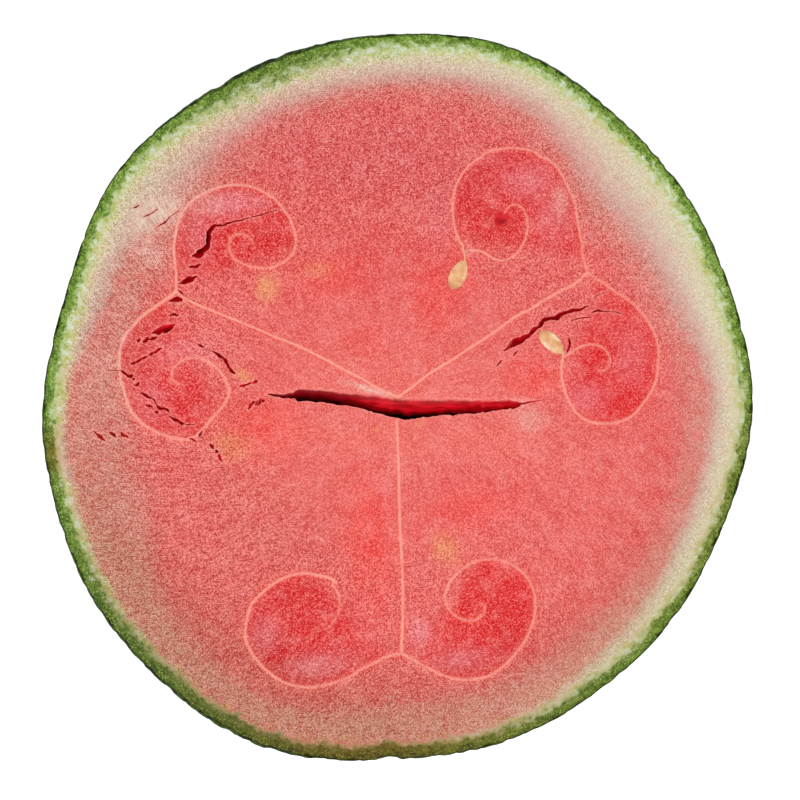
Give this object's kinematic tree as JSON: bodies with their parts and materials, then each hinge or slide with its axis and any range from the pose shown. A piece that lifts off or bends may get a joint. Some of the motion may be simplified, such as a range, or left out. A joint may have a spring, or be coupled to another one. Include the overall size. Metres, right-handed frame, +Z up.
{
  "type": "watermelon half",
  "caption": "Half of a small round watermelon, cut across: coral flesh with curled pale walls and a split heart, pale rind, dark green dome of skin.",
  "frame": {"origin": "middle of the flat spot on the dome that the half rests on", "axes": "+Z up, along the melon's own axis and out of the cut face; +X along the wide crack in the heart; +Y towards the side that carries two of the three pale walls"},
  "size_m": [0.2188, 0.2238, 0.112],
  "materials": {
    "flesh": "satin",
    "skin": "satin",
    "seed": "satin"
  },
  "bodies": {
    "root": {"watermelon_half": "flesh"}
  },
  "joints": []
}
